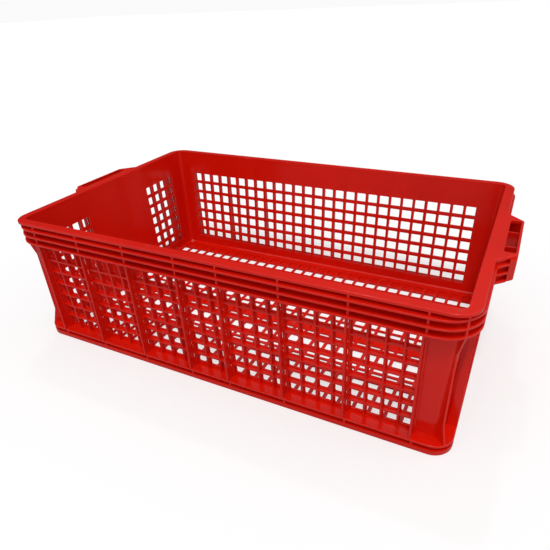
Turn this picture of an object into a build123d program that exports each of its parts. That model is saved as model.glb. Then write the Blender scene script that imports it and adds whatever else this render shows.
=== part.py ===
"""Perforated harvest tub with a stacking base, a ribbed rim band and a moulded handle at each end.

X runs along the length, Y across it and Z up, in millimetres, with the origin under the middle of the base.
The real tub is one moulding. Its walls, ribs, rim, base and handles are separate solids here that meet face to face.
"""
from build123d import *
from math import sqrt
import os

os.makedirs("parts", exist_ok=True)

# Overall sizes
HEIGHT = 192.0
RIM_LENGTH = 630.0
RIM_WIDTH = 395.0
RIM_CORNER = 26.0
RIM_ROUND = 1.2
BASE_INSET = 2.5
BASE_CORNER = 24.5

# Rim flange and the three band fins under it
FLANGE_WIDTH = 13.0
FLANGE_T = 3.5
BAND_FIN_T = 3.0
BAND_FIN_PITCH = 10.2
BAND_FINS = 3
BAND_DEPTH = 31.0
BAND_OVERHANG = 3.0
BAND_CORNER = 42.0
BAND_ROUND = 0.9
BAND_TIE_BACK = 3.0

# Tapered wall
WALL_T = 2.5
WALL_DRAFT = 0.05
INNER_CORNER = 7.0

# Square wall holes, on one grid for all four sides
HOLE_PITCH = 20.0
ROW_PITCH = 19.7
HOLE_W = 15.6
HOLE_H = 15.0
HOLE_R = 1.5
ROWS = 7
TOP_ROW_Z = 144.5
LONG_COLUMNS = range(-13, 14)
END_COLUMNS = range(4, 8)

# Thin fins between the holes, and the deep upright ribs
FIN_T = 2.2
FIN_DEPTH = 5.0
RIB_T = 2.6
LONG_RIBS = (-13.5, -9.5, -5.5, -1.5, 1.5, 5.5, 9.5, 13.5)
END_RIBS = (-7.5, -3.5, 3.5, 7.5)

# Base ring: skirt, groove and ledge
LEDGE_Z = 14.5
LEDGE_T = 2.5
GROOVE_Z = 6.8
GROOVE_DEPTH = 8.0
GROOVE_TIE_BACK = 0.8
BASE_ROUND = 0.9
SKIN_T = 2.5

# Floor grid
STRIP_T = 0.6
FLOOR_T = 2.5
FLOOR_COVE = 1.8
FLOOR_HOLE = 15.6
FLOOR_ROW_PITCH = 19.3
FLOOR_COLUMNS = range(-14, 15)
FLOOR_ROWS = range(-8, 9)
CLOSED_ROWS = (-1, 8)

# Diagonal fin on each corner, with its gussets
CORNER_FIN_X = 300.0
CORNER_FIN_BACK = 0.6
LOW_GUSSET = 24.0
HIGH_GUSSET = 26.0

# Handles
HANDLE_REACH = 20.5
HANDLE_ROOT = 71.0
HANDLE_ROUND = 4.0
SLOT_START = 5.0
SLOT_HALF = 47.5
SLOT_ROUND = 2.5
GRIP_T = 3.0
GRIP_END = 7.0
GRIP_ROUND = 2.5
CHEEK_T = 2.5
CHEEK_BACK = 2.8
PARTITION_Y = 22.0
PARTITION_T = 2.5
PARTITION_DROP = 1.5

# Derived heights and half sizes
SLANT = sqrt(1 + WALL_DRAFT ** 2)
FLANGE_Z = HEIGHT - FLANGE_T
BAND_Z = HEIGHT - BAND_DEPTH
FLOOR_Z = STRIP_T + FLOOR_T
HALF_L = RIM_LENGTH / 2
HALF_W = RIM_WIDTH / 2
BASE_L = RIM_LENGTH - 2 * BASE_INSET
BASE_W = RIM_WIDTH - 2 * BASE_INSET
DIAGONAL_X = HALF_L - HALF_W
FIN_LEVELS = [TOP_ROW_Z - (row + 0.5) * ROW_PITCH for row in range(ROWS - 1)]
ROW_LEVELS = [TOP_ROW_Z - row * ROW_PITCH for row in range(ROWS)]
BAND_LEVELS = [BAND_Z + step * BAND_FIN_PITCH for step in range(BAND_FINS)]
HANDLE_X = HALF_L + HANDLE_REACH
GRIP_X = HANDLE_X - GRIP_T
SLOT_X = HALF_L + SLOT_START
FAR = 260.0

# Each side: its turn about Z from the front, half length along it and half size out to it
SIDES = {
    "front": (0, HALF_L, HALF_W),
    "right": (90, HALF_W, HALF_L),
    "rear": (180, HALF_L, HALF_W),
    "left": (270, HALF_W, HALF_L),
}
CORNERS = {
    "front_right": (1, -1),
    "front_left": (-1, -1),
    "rear_right": (1, 1),
    "rear_left": (-1, 1),
}
NODES = {}


def inner(half, z):
    """Half size of the inside at height z, from the rim's half size."""
    return half - FLANGE_WIDTH - WALL_DRAFT * (FLANGE_Z - z)


def block(x0, x1, y0, y1, z0, z1):
    """A box between two corners."""
    centre = Pos((x0 + x1) / 2, (y0 + y1) / 2, (z0 + z1) / 2)
    return centre * Box(x1 - x0, y1 - y0, z1 - z0)


def prism(points, z0, z1):
    """An upright prism on a polygon."""
    return extrude(Pos(0, 0, z0) * Polygon(*points, align=None), z1 - z0)


def rounded_plate(sketch, z, depth, radius, rounded):
    """A flat plate with its outer edge rounded at the bottom (0), at the top (-1) or at both."""
    plate = extrude(Pos(0, 0, z) * sketch, depth)
    faces = plate.faces().sort_by(Axis.Z)
    return fillet([edge for end in rounded for edge in faces[end].outer_wire().edges()], radius)


def tub_outline(z, grow):
    """The rounded outline of the inside at height z, grown outwards."""
    length = 2 * (inner(HALF_L, z) + grow)
    width = 2 * (inner(HALF_W, z) + grow)
    return Pos(0, 0, z) * RectangleRounded(length, width, INNER_CORNER + grow)


def tub_body(z0, z1, grow):
    """The drafted body of the inside, grown outwards."""
    return loft([tub_outline(z0, grow), tub_outline(z1, grow)], ruled=True)


def wall_plane(out, reach):
    """The slanted plane of the front wall's inner face, moved out by a reach."""
    return Plane(origin=(0, -(inner(out, 0) + reach), 0), x_dir=(1, 0, 0), z_dir=(0, -1, -WALL_DRAFT))


def wall_slab(out, reach, depth, outline, hole, centres):
    """A slab parallel to the slanted front wall, from an outline in X and Z, with one hole at each centre."""
    frame = wall_plane(out, reach).location
    points = [(x, z * SLANT) for x, z in outline]
    edge = Polygon(*points, align=None).face().outer_wire().moved(frame)
    wire = hole.face().outer_wire()
    wires = [wire.moved(frame * Location((x, z * SLANT, 0))) for x, z in centres]
    return Solid.extrude(Face(edge, wires), Vector(0, -depth, 0))


def turned(shape, side):
    """A shape made at the front, turned to its side."""
    return Rot(0, 0, SIDES[side][0]) * shape


def mirrored(shape, sx, sy):
    """A shape made at the front right, mirrored to another corner."""
    if sx < 0:
        shape = mirror(shape, Plane.YZ)
    if sy > 0:
        shape = mirror(shape, Plane.XZ)
    return shape


def wedge(side, z0, z1):
    """The part of the plan that belongs to one side, split from its neighbours on the diagonals."""
    if side in ("front", "rear"):
        points = [(-DIAGONAL_X, 0), (-DIAGONAL_X - FAR, -FAR), (DIAGONAL_X + FAR, -FAR), (DIAGONAL_X, 0)]
        body = prism(points, z0, z1)
        return body if side == "front" else mirror(body, Plane.XZ)
    points = [(DIAGONAL_X, 0), (DIAGONAL_X + FAR, -FAR), (DIAGONAL_X + FAR, FAR)]
    body = prism(points, z0, z1)
    return body if side == "right" else mirror(body, Plane.YZ)


def hole_columns(side):
    """Column numbers of the holes in one side."""
    if side in ("front", "rear"):
        return list(LONG_COLUMNS)
    return [-column for column in END_COLUMNS] + list(END_COLUMNS)


def cove_ring():
    """The small cove where the floor meets the walls, all round the inside."""
    top = FLOOR_Z + FLOOR_COVE
    hollow = loft([tub_outline(FLOOR_Z, -FLOOR_COVE), tub_outline(top, 0)], ruled=True)
    return tub_body(FLOOR_Z, top, 0) - hollow


def wall(side):
    """One drafted wall plate with its square holes and its cove, standing on the floor."""
    along, out = SIDES[side][1:]
    low = inner(along, FLOOR_Z) - INNER_CORNER
    high = inner(along, FLANGE_Z) - INNER_CORNER
    outline = [(-low, FLOOR_Z), (low, FLOOR_Z), (high, FLANGE_Z), (-high, FLANGE_Z)]
    hole = RectangleRounded(HOLE_W, HOLE_H, HOLE_R)
    centres = [(column * HOLE_PITCH, z) for column in hole_columns(side) for z in ROW_LEVELS]
    plate = wall_slab(out, 0, WALL_T, outline, hole, centres)
    lining = wall_slab(out, -INNER_CORNER, INNER_CORNER, outline, hole, [])
    return turned(plate, side) + (turned(lining, side) & cove_ring())


def comb_edge(first, last, level, tip):
    """Points along one toothed edge of a fin panel, from its first fin to its last."""
    points = []
    for step in range(first, last + 2):
        x = (step - 0.5) * HOLE_PITCH
        left, right = x - FIN_T / 2, x + FIN_T / 2
        points += [(left, level), (left, tip), (right, tip), (right, level)]
    return points[1:-1]


def fin_panel(out, first, last):
    """Upright and level fins between the holes of columns first to last."""
    low = FIN_LEVELS[-1] - FIN_T / 2
    high = FIN_LEVELS[0] + FIN_T / 2
    outline = comb_edge(first, last, low, LEDGE_Z) + comb_edge(first, last, high, BAND_Z)[::-1]
    cell = Rectangle(HOLE_PITCH - FIN_T, (ROW_PITCH - FIN_T) * SLANT)
    centres = [(column * HOLE_PITCH, z) for column in range(first, last + 1) for z in ROW_LEVELS[1:-1]]
    return wall_slab(out, WALL_T, FIN_DEPTH, outline, cell, centres)


def rib(out, position):
    """One deep upright rib between the base ledge and the band, flush with the base."""
    edge = out - BASE_INSET
    root = WALL_T + FIN_DEPTH
    points = [
        (-(inner(out, LEDGE_Z) + root), LEDGE_Z),
        (-edge, LEDGE_Z),
        (-edge, BAND_Z),
        (-(inner(out, BAND_Z) + root), BAND_Z),
    ]
    start = position * HOLE_PITCH - RIB_T / 2
    return extrude(Plane.YZ.offset(start) * Polygon(*points, align=None), RIB_T)


def leaning(face, rise):
    """A flat face at the front right corner, raised along the draft."""
    lean = WALL_DRAFT * rise
    return Solid.extrude(face, Vector(lean, -lean, rise))


def corner_post():
    """The rounded wall corner at the front right with its cove, following the draft."""
    ring = tub_outline(FLOOR_Z, WALL_T) - tub_outline(FLOOR_Z, 0)
    x = inner(HALF_L, FLOOR_Z) - INNER_CORNER
    y = -(inner(HALF_W, FLOOR_Z) - INNER_CORNER)
    window = Pos(x, y, FLOOR_Z) * Rectangle(RIM_CORNER, RIM_CORNER, align=(Align.MIN, Align.MAX))
    post = leaning((ring & window).face(), FLANGE_Z - FLOOR_Z)
    return post + (leaning(window.face(), FLOOR_COVE) & cove_ring())


def diagonal(x):
    """Distance along the corner's diagonal at a given X."""
    return (x - DIAGONAL_X) * sqrt(2)


def corner_inset(radius):
    """How far a rounded corner stays inside the square one, along X."""
    return radius * (1 - 1 / sqrt(2))


def diagonal_plate(points):
    """A rib on the front right corner's diagonal, from points out along it and up."""
    plane = Plane(origin=(DIAGONAL_X, 0, 0), x_dir=(1, -1, 0), z_dir=(-1, -1, 0))
    return extrude(plane * Polygon(*points, align=None), RIB_T / 2, both=True)


def corner_fin():
    """The diagonal fin outside the front right corner, flared to the ledge and to the band."""
    base_x = HALF_L - BASE_INSET - corner_inset(BASE_CORNER)
    band_x = HALF_L + BAND_OVERHANG - corner_inset(BAND_CORNER)
    root = WALL_T / 2 - corner_inset(INNER_CORNER)
    points = [
        (diagonal(inner(HALF_L, LEDGE_Z) + root), LEDGE_Z),
        (diagonal(base_x) - CORNER_FIN_BACK, LEDGE_Z),
        (diagonal(CORNER_FIN_X), LEDGE_Z + LOW_GUSSET),
        (diagonal(CORNER_FIN_X), BAND_Z - HIGH_GUSSET),
        (diagonal(band_x) - CORNER_FIN_BACK, BAND_Z),
        (diagonal(inner(HALF_L, BAND_Z) + root), BAND_Z),
    ]
    return diagonal_plate(points)


def band_corner_fin():
    """The same diagonal fin carried up through the band."""
    band_x = HALF_L + BAND_OVERHANG - corner_inset(BAND_CORNER)
    start = diagonal(inner(HALF_L, BAND_Z) - corner_inset(INNER_CORNER))
    end = diagonal(band_x) - CORNER_FIN_BACK
    return diagonal_plate([(start, BAND_Z), (end, BAND_Z), (end, FLANGE_Z), (start, FLANGE_Z)])


def base_outline(inset):
    """The rounded outline of the base, moved inwards."""
    return RectangleRounded(BASE_L - 2 * inset, BASE_W - 2 * inset, BASE_CORNER - inset)


def base_ring():
    """The whole base ring: skirt, shelf, web and ledge."""
    ledge_z = LEDGE_Z - LEDGE_T
    shelf_z = GROOVE_Z - SKIN_T
    web = base_outline(GROOVE_DEPTH) - base_outline(GROOVE_DEPTH + SKIN_T)
    shelf = base_outline(0) - base_outline(GROOVE_DEPTH + SKIN_T)
    skirt = rounded_plate(base_outline(0), 0, shelf_z, BASE_ROUND, (0,))
    skirt -= extrude(base_outline(SKIN_T), shelf_z)
    ledge = rounded_plate(base_outline(0), ledge_z, LEDGE_T, BASE_ROUND, (-1,))
    ledge -= tub_body(0, HEIGHT, WALL_T)
    return skirt + [extrude(web, ledge_z), extrude(Pos(0, 0, shelf_z) * shelf, SKIN_T), ledge]


def groove_ties(side):
    """Small uprights across the base groove, in line with the deep ribs."""
    out = SIDES[side][2]
    edge = out - BASE_INSET - GROOVE_TIE_BACK
    back = out - BASE_INSET - GROOVE_DEPTH
    ties = []
    for position in LONG_RIBS if side in ("front", "rear") else END_RIBS:
        x = position * HOLE_PITCH
        tie = block(x - RIB_T / 2, x + RIB_T / 2, -edge, -back, GROOVE_Z, LEDGE_Z - LEDGE_T)
        ties.append(turned(tie, side))
    return ties


def handle_outline(grow):
    """The plan of the right handle, from inside the rim outwards, its slanted sides moved out."""
    inside = HALF_L - FLANGE_WIDTH / 2
    root = HANDLE_ROOT + grow * sqrt(2)
    top = root - HANDLE_REACH
    points = [
        (inside, -root),
        (HALF_L, -root),
        (HANDLE_X, -top),
        (HANDLE_X, top),
        (HALF_L, root),
        (inside, root),
    ]
    sketch = Polygon(*points, align=None)
    return fillet(sketch.vertices().filter_by_position(Axis.X, HANDLE_X, HANDLE_X), HANDLE_ROUND)


def rim_outline(grow, corner):
    """The plan of the rim with both handles, moved out."""
    handle = handle_outline(grow)
    rim = RectangleRounded(RIM_LENGTH + 2 * grow, RIM_WIDTH + 2 * grow, corner)
    return rim + handle + mirror(handle, Plane.YZ)


def rim_flange():
    """The flat rim with its rounded edge, open over the tub and over the handle cells."""
    slot_l = GRIP_X - SLOT_X
    slot = Pos(SLOT_X + slot_l / 2, 0) * RectangleRounded(slot_l, 2 * SLOT_HALF, SLOT_ROUND)
    opening = Pos(0, 0, -FLANGE_Z) * tub_outline(FLANGE_Z, 0)
    plate = rounded_plate(rim_outline(0, RIM_CORNER), FLANGE_Z, FLANGE_T, RIM_ROUND, (-1,))
    return plate - extrude(Pos(0, 0, FLANGE_Z) * (opening + slot + mirror(slot, Plane.YZ)), FLANGE_T)


def cheek_line(x, back=0.0):
    """Half width of the handle's core at X, up to the cheek's outer face or further back."""
    return HALF_L + HANDLE_ROOT - (CHEEK_BACK + back) * sqrt(2) - x


def handle_core(back, x1):
    """The plan inside the cheeks' outer faces, or further back, out to x1."""
    x0 = HALF_L - 2 * FLANGE_WIDTH
    points = [
        (x0, -cheek_line(x0, back)),
        (x1, -cheek_line(x1, back)),
        (x1, cheek_line(x1, back)),
        (x0, cheek_line(x0, back)),
    ]
    return Polygon(*points, align=None)


def band_fin():
    """The lowest level fin round the whole rim, ending at the handle cores and grips."""
    plan = rim_outline(BAND_OVERHANG, BAND_CORNER)
    fin = rounded_plate(plan, BAND_Z, BAND_FIN_T, BAND_ROUND, (0, -1))
    handle = handle_core(0, HANDLE_X) + Pos(HANDLE_X, 0) * Rectangle(2 * GRIP_END, RIM_WIDTH)
    return fin - extrude(Pos(0, 0, BAND_Z) * (handle + mirror(handle, Plane.YZ)), BAND_FIN_T)


def band_ties(side):
    """Uprights through the band, in line with the deep ribs."""
    out = SIDES[side][2]
    edge = out + BAND_OVERHANG - BAND_TIE_BACK
    ties = []
    for position in LONG_RIBS if side in ("front", "rear") else (END_RIBS[0], END_RIBS[-1]):
        x = position * HOLE_PITCH
        tie = block(x - RIB_T / 2, x + RIB_T / 2, -edge, -inner(out, BAND_Z), BAND_Z, FLANGE_Z)
        ties.append(turned(tie, side))
    return ties


def band(side):
    """The band of one side: its three fins, its ties and its halves of the corner fins."""
    lowest = band_fin() & wedge(side, 0, HEIGHT)
    parts = [Pos(0, 0, level - BAND_Z) * lowest for level in BAND_LEVELS] + band_ties(side)
    for sx, sy in CORNERS.values():
        half = mirrored(band_corner_fin(), sx, sy) & wedge(side, 0, HEIGHT)
        if half.volume > 0:
            parts.append(half)
    return parts[0] + parts[1:] - tub_body(0, HEIGHT, WALL_T)


def grip():
    """Outer plate of the right handle, with its end blocks and the two partitions behind it."""
    plan = handle_outline(BAND_OVERHANG) & Pos(HANDLE_X, 0) * Rectangle(2 * GRIP_END, RIM_WIDTH)
    plan -= handle_core(0, GRIP_X)
    body = extrude(Pos(0, 0, BAND_Z) * plan, FLANGE_Z - BAND_Z)
    low = body.edges().filter_by_position(Axis.Z, BAND_Z, BAND_Z)
    body = fillet([e for e in low if (e @ 0.5).X > GRIP_X + GRIP_T / 2], GRIP_ROUND)
    for y in (-PARTITION_Y, PARTITION_Y):
        y0, y1 = y - PARTITION_T / 2, y + PARTITION_T / 2
        body += block(inner(HALF_L, BAND_Z), GRIP_X, y0, y1, BAND_Z, FLANGE_Z)
        body -= block(SLOT_X, GRIP_X, y0, y1, FLANGE_Z - PARTITION_DROP, FLANGE_Z)
    return body - tub_body(0, HEIGHT, WALL_T)


def cheek():
    """The front cheek of the right handle, a slanted plate from the wall to the outer plate."""
    plan = handle_core(0, GRIP_X) - handle_core(CHEEK_T, GRIP_X)
    plan = plan & Pos(HALF_L, -HALF_W / 2) * Rectangle(RIM_LENGTH, HALF_W)
    body = extrude(Pos(0, 0, BAND_Z) * plan, FLANGE_Z - BAND_Z)
    return body - tub_body(0, HEIGHT, WALL_T)


def floor_outline():
    """The plan of the floor, out to the walls' outer faces."""
    return Pos(0, 0, -FLOOR_Z) * tub_outline(FLOOR_Z, WALL_T)


def floor_grid():
    """The floor under the walls, with its square openings."""
    hole = RectangleRounded(FLOOR_HOLE, FLOOR_HOLE, HOLE_R).face().outer_wire()
    spots = [(column * HOLE_PITCH, row * FLOOR_ROW_PITCH, 0) for column in FLOOR_COLUMNS for row in FLOOR_ROWS]
    wires = [hole.moved(Location(spot)) for spot in spots]
    plate = Face(floor_outline().face().outer_wire(), wires).moved(Location((0, 0, STRIP_T)))
    return Solid.extrude(plate, Vector(0, 0, FLOOR_T))


def floor_strips():
    """A thin frame under the floor whose two long strips close a row of openings each."""
    reach = FLOOR_COLUMNS[-1] * HOLE_PITCH + FLOOR_HOLE / 2
    low, high = (row * FLOOR_ROW_PITCH for row in CLOSED_ROWS)
    gap = (high - low) - FLOOR_ROW_PITCH
    window = Pos(0, (low + high) / 2) * Rectangle(2 * reach, gap)
    frame = Pos(0, (low + high) / 2) * Rectangle(RIM_LENGTH, gap + 2 * FLOOR_ROW_PITCH)
    return extrude((frame & floor_outline()) - window, STRIP_T)


def side_pieces(side):
    """The nodes of one side, as names with a place for the side's own name."""
    out = SIDES[side][2]
    long_side = side == "front"
    pieces = {
        "wall_{}": wall(side),
        "base_{}": (base_ring() & wedge(side, 0, LEDGE_Z)) + groove_ties(side),
        "rim_{}": rim_flange() & wedge(side, 0, HEIGHT),
    }
    ring = band(side)
    columns = LONG_COLUMNS if long_side else END_COLUMNS
    panel = turned(fin_panel(out, columns[0], columns[-1]), side)
    if long_side:
        pieces["band_{}"] = ring
        pieces["fins_{}"] = panel
    else:
        for solid in ring.solids() + [panel, mirror(panel, Plane.XZ)]:
            half = "front" if solid.center().Y < 0 else "rear"
            kind = "band" if solid.bounding_box().max.Z > BAND_Z + FIN_DEPTH else "fins"
            pieces[kind + "_{}_" + half] = solid
    for number, position in enumerate(LONG_RIBS if long_side else END_RIBS, 1):
        pieces["rib_{}_" + str(number)] = turned(rib(out, position), side)
    return pieces


def add(name, shape):
    """Keep one node, as its single solid."""
    solids = shape.solids()
    if len(solids) != 1:
        raise ValueError(f"{name} has {len(solids)} solids")
    NODES[name] = solids[0]


def build():
    """Make every node, each side and its opposite as mirror images."""
    add("floor_grid", floor_grid())
    add("floor_strips", floor_strips())
    for side, opposite, plane in (("front", "rear", Plane.XZ), ("right", "left", Plane.YZ)):
        for name, shape in side_pieces(side).items():
            add(name.format(side), shape)
            add(name.format(opposite), mirror(shape, plane))
    post = corner_post() + corner_fin()
    for name, (sx, sy) in CORNERS.items():
        add(f"corner_{name}", mirrored(post, sx, sy))
    outer_plate = grip()
    front_cheek = cheek()
    for side, sx in (("right", 1), ("left", -1)):
        add(f"grip_{side}", mirrored(outer_plate, sx, -1))
        add(f"cheek_{side}_front", mirrored(front_cheek, sx, -1))
        add(f"cheek_{side}_rear", mirrored(front_cheek, sx, 1))


build()
for name, solid in NODES.items():
    export_step(solid, f"parts/{name}.step")
total = sum(solid.volume for solid in NODES.values())
print(len(NODES), "nodes, volume in cubic centimetres:", round(total / 1000, 1))
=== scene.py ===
import math

import bpy
from mathutils import Matrix, Vector

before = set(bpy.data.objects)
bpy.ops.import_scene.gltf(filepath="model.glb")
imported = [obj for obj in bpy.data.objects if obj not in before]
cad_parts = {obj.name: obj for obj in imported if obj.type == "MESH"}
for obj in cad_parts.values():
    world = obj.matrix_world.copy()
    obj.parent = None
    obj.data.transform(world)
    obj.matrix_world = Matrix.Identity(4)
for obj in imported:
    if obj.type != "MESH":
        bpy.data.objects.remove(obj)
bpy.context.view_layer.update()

# Camera, in metres and pixels of a 550 by 550 frame
CAMERA_AT = (0.3227, -0.5972, 0.4464)
CAMERA_TURN = (2.082, 0.470, -0.322)
FOCAL_PX = 487.4
CENTRE_PX = (275.6, 294.0)
FRAME_PX = 550.0
SENSOR = 36.0
CLIP = (0.01, 50)

# Broad soft light: where it lies, and how its strength grows as a direction turns towards it
SOFT_SIDE = (0.32, -0.36, 0.88)
SOFT_TURN = (-0.1, 0.75)
SOFT_STRENGTH = (0.05, 0.80)

# Lamps: name, the direction they lie in, strength, and width in degrees
SUNS = (
    ("key", (0.12, -0.38, 0.92), 0.85, 6),
    ("edge", (-0.22, 0.42, 0.88), 0.2, 3),
)

# Floor and background, as grey levels
FLOOR_GREY = 0.5
FLOOR_GLOW = 0.55
BACKGROUND_WHITE = 0.96
FLOOR_REACH = 20.0
FLOOR_DROP = 0.0002

# Colours of the moulding, linear
RED = (0.80, 0.0095, 0.0014)
RED_DEEP = (0.72, 0.0075, 0.0012)
SCUFF = (0.60, 0.050, 0.035)

# Scuffs: two heights in metres, and the share of the surface's streaks that shows at each
BASE_SCUFFS = (0.030, 0.0, 0.0, 0.9)
RIM_SCUFFS = (0.186, 0.192, 0.0, 0.45)

# Gloss of the moulding
ROUGHNESS = (0.12, 0.20)
SCUFF_ROUGHNESS = 0.25
IOR = 1.5
SPECULAR = 0.4

# Noise of the moulding: scale, detail, and stretch along X, Y and Z
FLOW_MARKS = (8.0, 3.0, (1.0, 1.0, 0.35))
STREAKS = (30.0, 6.0, (1.0, 1.0, 9.0))
HAZE = (42.0, 4.0)
SKIN = (650.0, 2.0)
SKIN_DEPTH = 0.0002


def make_camera():
    """The photograph's camera, from its position, turn, focal length and centre."""
    turn = Matrix.Rotation(Vector(CAMERA_TURN).length, 3, Vector(CAMERA_TURN)).transposed()
    turn = turn @ Matrix(((1, 0, 0), (0, -1, 0), (0, 0, -1)))
    data = bpy.data.cameras.new("camera")
    data.sensor_fit = "HORIZONTAL"
    data.sensor_width = SENSOR
    data.lens = FOCAL_PX / FRAME_PX * SENSOR
    data.shift_x = -(CENTRE_PX[0] - FRAME_PX / 2) / FRAME_PX
    data.shift_y = (CENTRE_PX[1] - FRAME_PX / 2) / FRAME_PX
    data.clip_start, data.clip_end = CLIP
    camera = bpy.data.objects.new("camera", data)
    camera.matrix_world = Matrix.Translation(CAMERA_AT) @ turn.to_4x4()
    bpy.context.scene.collection.objects.link(camera)
    bpy.context.scene.camera = camera


def grey(level):
    """A grey as Blender's colour sockets take it."""
    return (level, level, level, 1)


def node(tree, kind, **values):
    """A new shader node with its settings and its constant inputs."""
    made = tree.nodes.new(kind)
    for name, value in values.items():
        if hasattr(made, name):
            setattr(made, name, value)
        else:
            made.inputs[name.replace("_", " ")].default_value = value
    return made


def mix_colour(tree, factor, first, second):
    """A colour between two, by a factor socket; each colour is a constant or a socket."""
    mix = node(tree, "ShaderNodeMix", data_type="RGBA")
    inputs = {socket.name: socket for socket in mix.inputs if socket.type == "RGBA"}
    for name, colour in (("A", first), ("B", second)):
        if isinstance(colour, tuple):
            inputs[name].default_value = (*colour, 1)
        else:
            tree.links.new(colour, inputs[name])
    tree.links.new(factor, mix.inputs["Factor"])
    return next(socket for socket in mix.outputs if socket.type == "RGBA")


def noise(tree, place, scale, detail, stretch=None):
    """Noise in the tub's own coordinates, which may be stretched along X, Y and Z."""
    made = node(tree, "ShaderNodeTexNoise", Scale=scale, Detail=detail, Roughness=0.55)
    if stretch:
        mapping = node(tree, "ShaderNodeMapping", Scale=stretch)
        tree.links.new(place, mapping.inputs["Vector"])
        place = mapping.outputs["Vector"]
    tree.links.new(place, made.inputs["Vector"])
    return made.outputs["Fac"]


def remap(tree, value, low, high, to_low, to_high):
    """A value carried linearly from one range to another, and held at its ends."""
    made = node(tree, "ShaderNodeMapRange",
                From_Min=low, From_Max=high, To_Min=to_low, To_Max=to_high)
    tree.links.new(value, made.inputs["Value"])
    return made.outputs["Result"]


def calculate(tree, operation, *values):
    """The result of a Math node, each of whose values is a number or a socket."""
    made = node(tree, "ShaderNodeMath", operation=operation)
    for socket, value in zip(made.inputs, values):
        if isinstance(value, float):
            socket.default_value = value
        else:
            tree.links.new(value, socket)
    return made.outputs[0]


def plastic():
    """Glossy red polyethylene, with flow marks, a fine skin and light scuffs low down and on the rim."""
    material = bpy.data.materials.new("tub_plastic")
    material.use_nodes = True
    tree = material.node_tree
    link = tree.links.new
    shader = tree.nodes["Principled BSDF"]
    shader.inputs["IOR"].default_value = IOR
    shader.inputs["Specular IOR Level"].default_value = SPECULAR
    place = node(tree, "ShaderNodeTexCoord").outputs["Object"]

    flow = remap(tree, noise(tree, place, *FLOW_MARKS), 0.35, 0.65, 0.0, 1.0)
    tone = mix_colour(tree, flow, RED_DEEP, RED)

    height = node(tree, "ShaderNodeSeparateXYZ")
    link(place, height.inputs[0])
    low_zone = remap(tree, height.outputs["Z"], *BASE_SCUFFS)
    high_zone = remap(tree, height.outputs["Z"], *RIM_SCUFFS)
    zones = calculate(tree, "MAXIMUM", low_zone, high_zone)
    streaks = remap(tree, noise(tree, place, *STREAKS), 0.62, 0.72, 0.0, 1.0)
    wear = calculate(tree, "MULTIPLY", streaks, zones)
    link(mix_colour(tree, wear, tone, SCUFF), shader.inputs["Base Color"])

    haze = remap(tree, noise(tree, place, *HAZE), 0.3, 0.7, *ROUGHNESS)
    worn = calculate(tree, "MULTIPLY_ADD", wear, SCUFF_ROUGHNESS, haze)
    link(worn, shader.inputs["Roughness"])

    bump = node(tree, "ShaderNodeBump", Strength=0.10, Distance=SKIN_DEPTH)
    link(noise(tree, place, *SKIN), bump.inputs["Height"])
    link(bump.outputs["Normal"], shader.inputs["Normal"])
    return material


def floor_material():
    """A pale floor that looks nearly white to the camera and keeps the shadow."""
    material = bpy.data.materials.new("floor")
    material.use_nodes = True
    tree = material.node_tree
    link = tree.links.new
    shader = tree.nodes["Principled BSDF"]
    shader.inputs["Base Color"].default_value = grey(FLOOR_GREY)
    shader.inputs["Roughness"].default_value = 0.9
    shader.inputs["Specular IOR Level"].default_value = 0.0
    glow = node(tree, "ShaderNodeEmission", Color=grey(FLOOR_GLOW))
    link(node(tree, "ShaderNodeLightPath").outputs["Is Camera Ray"], glow.inputs["Strength"])
    both = node(tree, "ShaderNodeAddShader")
    link(shader.outputs["BSDF"], both.inputs[0])
    link(glow.outputs["Emission"], both.inputs[1])
    link(both.outputs["Shader"], tree.nodes["Material Output"].inputs["Surface"])
    return material


def make_floor():
    """A wide flat floor, just under the tub."""
    mesh = bpy.data.meshes.new("floor")
    reach = FLOOR_REACH
    corners = [(-reach, -reach, 0), (reach, -reach, 0), (reach, reach, 0), (-reach, reach, 0)]
    mesh.from_pydata(corners, [], [(0, 1, 2, 3)])
    mesh.materials.append(floor_material())
    floor = bpy.data.objects.new("floor", mesh)
    floor.location.z = -FLOOR_DROP
    bpy.context.scene.collection.objects.link(floor)


def make_world():
    """A world that is white to the camera and a broad soft light to the tub."""
    world = bpy.data.worlds.new("world")
    world.use_nodes = True
    bpy.context.scene.world = world
    tree = world.node_tree
    link = tree.links.new
    sky = tree.nodes["Background"]
    sky.inputs["Color"].default_value = grey(1)
    across = node(tree, "ShaderNodeVectorMath", operation="DOT_PRODUCT")
    across.inputs[1].default_value = SOFT_SIDE
    link(node(tree, "ShaderNodeTexCoord").outputs["Generated"], across.inputs[0])
    strength = remap(tree, across.outputs["Value"], *SOFT_TURN, *SOFT_STRENGTH)
    link(strength, sky.inputs["Strength"])
    white = node(tree, "ShaderNodeBackground", Color=grey(BACKGROUND_WHITE))
    mix = node(tree, "ShaderNodeMixShader")
    link(node(tree, "ShaderNodeLightPath").outputs["Is Camera Ray"], mix.inputs[0])
    link(sky.outputs[0], mix.inputs[1])
    link(white.outputs[0], mix.inputs[2])
    link(mix.outputs[0], tree.nodes["World Output"].inputs["Surface"])


def sun(name, towards, strength, degrees):
    """A soft distant lamp, lying in the given direction from the tub."""
    data = bpy.data.lights.new(name, "SUN")
    data.energy = strength
    data.angle = math.radians(degrees)
    lamp = bpy.data.objects.new(name, data)
    lamp.location = [2 * value for value in towards]
    lamp.rotation_euler = Vector(towards).to_track_quat("Z", "Y").to_euler()
    bpy.context.scene.collection.objects.link(lamp)


make_camera()
make_floor()
make_world()
for lamp_values in SUNS:
    sun(*lamp_values)

red = plastic()
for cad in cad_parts.values():
    cad.data.materials.clear()
    cad.data.materials.append(red)

bpy.context.scene.view_settings.view_transform = "Standard"
